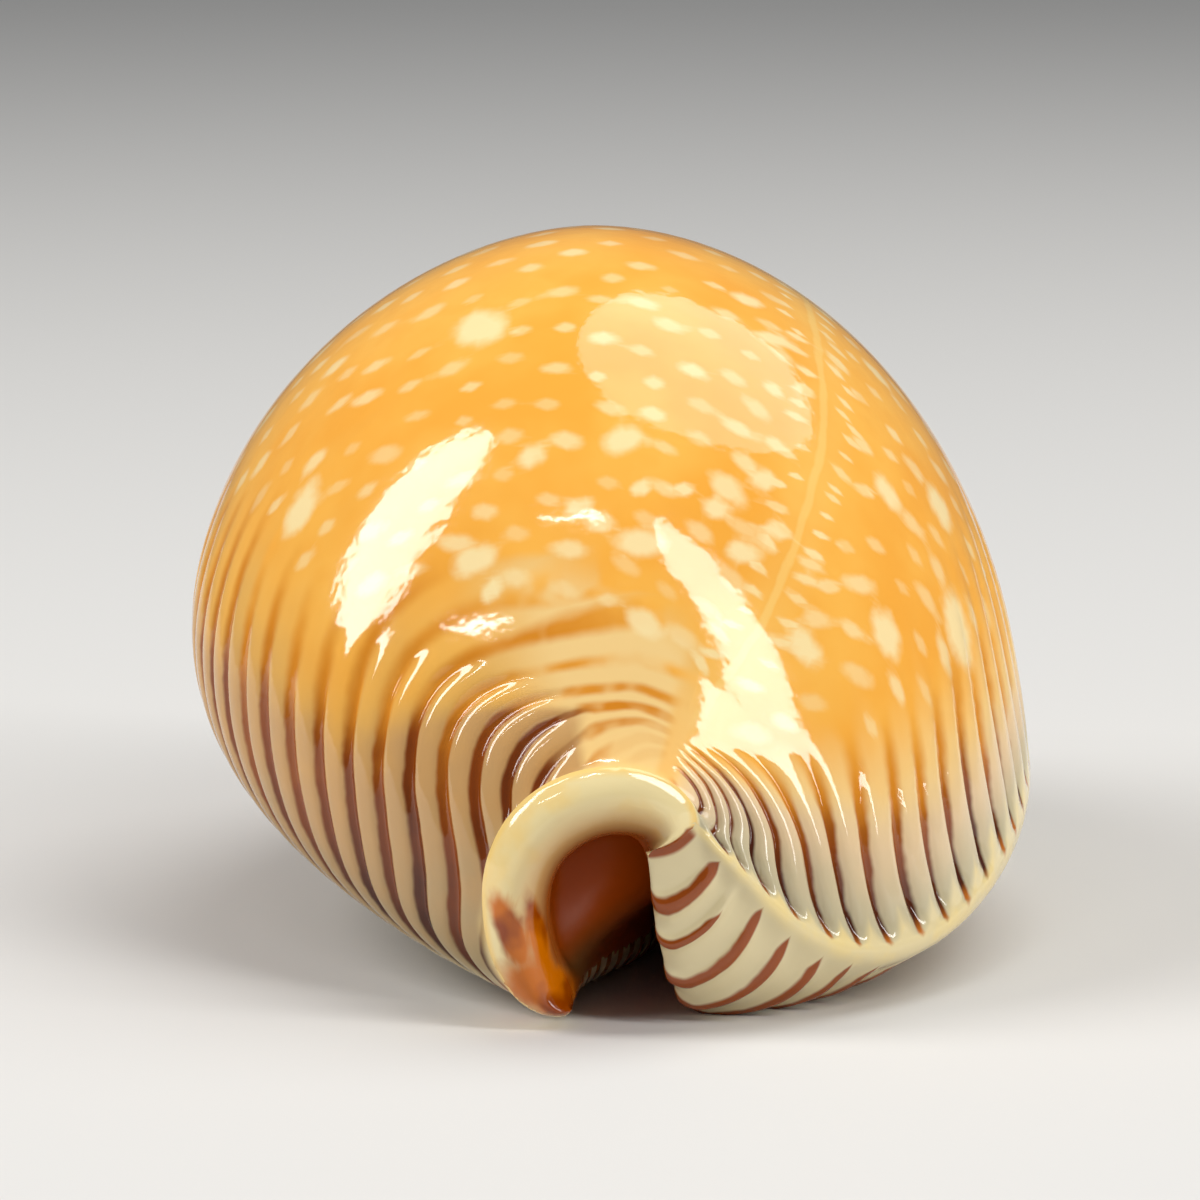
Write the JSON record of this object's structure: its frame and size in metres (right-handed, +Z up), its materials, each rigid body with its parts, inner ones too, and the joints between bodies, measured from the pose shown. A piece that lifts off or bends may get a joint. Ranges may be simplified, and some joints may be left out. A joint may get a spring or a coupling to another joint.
{
  "type": "cowry shell",
  "caption": "Domed, pear-shaped sea shell with a toothed slit along its flat side and a flared canal at its blunt end.",
  "frame": {"origin": "middle of the shell's bounding box at the level of the small flats that it rests on", "axes": "+Z up through the back, -Y towards the blunt spire end with the flared canal, +Y towards the narrow front end, +X towards the outer lip"},
  "size_m": [0.0378, 0.06, 0.0311],
  "materials": {
    "enamel": "glossy orange enamel with cream spots, dark red-brown lines between the side ribs, cream rims"
  },
  "bodies": {
    "root": {"shell": "enamel"}
  },
  "joints": []
}
